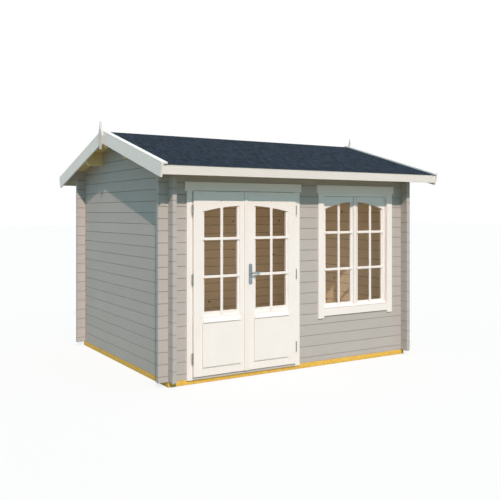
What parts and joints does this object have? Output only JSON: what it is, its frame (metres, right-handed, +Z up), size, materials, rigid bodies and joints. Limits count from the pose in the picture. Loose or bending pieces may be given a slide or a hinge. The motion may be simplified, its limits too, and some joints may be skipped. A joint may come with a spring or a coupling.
{
  "type": "log_cabin",
  "caption": "Grey painted log cabin with interlocking corners, a shallow gabled felt roof with finials, a glazed double door with a working lever and a wide arched window.",
  "frame": {"origin": "The middle of the room at ground level, under the bearers; the middle of the overall box in plan.", "axes": "+X runs along the front wall to the right as seen from outside, +Y from the front wall to the back, +Z up."},
  "size_m": [3.4596, 3.164, 2.6286],
  "materials": {
    "painted_logs": "matte",
    "painted_timber": "satin",
    "bare_timber": "matte",
    "treated_timber": "matte",
    "roofing_felt": "matte",
    "clear_glass": "gloss",
    "hinge_steel": "satin",
    "handle_steel": "satin"
  },
  "bodies": {
    "cabin": {"bearers": "treated_timber", "joists": "treated_timber", "floor": "bare_timber", "front_wall_left": "painted_logs", "front_wall_middle": "painted_logs", "front_wall_right": "painted_logs", "front_wall_low": "painted_logs", "front_wall_lintel": "painted_logs", "front_wall_top": "painted_logs", "back_wall": "painted_logs", "left_wall": "painted_logs", "right_wall": "painted_logs", "left_gable": "painted_logs", "right_gable": "painted_logs", "ridge_purlin": "bare_timber", "side_purlins": "bare_timber", "front_roof_boards": "bare_timber", "back_roof_boards": "bare_timber", "front_felt": "roofing_felt", "back_felt": "roofing_felt", "fascias": "painted_timber", "left_barge_boards": "painted_timber", "right_barge_boards": "painted_timber", "barge_caps": "painted_timber", "finials": "painted_timber", "door_frame": "painted_timber", "door_sill": "painted_timber", "door_casing": "painted_timber", "inside_casings": "painted_timber", "frame_hinges": "hinge_steel", "window_frame": "painted_timber", "window_casing": "painted_timber", "window_sashes": "painted_timber", "window_glass": "clear_glass"},
    "left_door": {"left_leaf": "painted_timber", "left_leaf_panel": "painted_timber", "left_leaf_glass": "clear_glass", "left_leaf_hinges": "hinge_steel", "meeting_strip": "painted_timber"},
    "right_door": {"right_leaf": "painted_timber", "right_leaf_panel": "painted_timber", "right_leaf_glass": "clear_glass", "right_leaf_hinges": "hinge_steel", "handle_plates": "handle_steel"},
    "lever": {"lever_handle": "handle_steel"}
  },
  "joints": [
    {"name": "left_door_hinge", "type": "hinge", "parent": "cabin", "child": "left_door", "pos_m": [-1.259, -1.28, 1.005], "axis": [0, 0, -1], "range_deg": [0, 110]},
    {"name": "right_door_hinge", "type": "hinge", "parent": "cabin", "child": "right_door", "pos_m": [-0.051, -1.28, 1.005], "axis": [0, 0, 1], "range_deg": [0, 110]},
    {"name": "lever_spindle", "type": "hinge", "parent": "right_door", "child": "lever", "pos_m": [-0.617, -1.264, 1.044], "axis": [0, 1, 0], "range_deg": [0, 40], "stiffness_Nm_per_rad": 2, "springref_deg": -14.9}
  ]
}
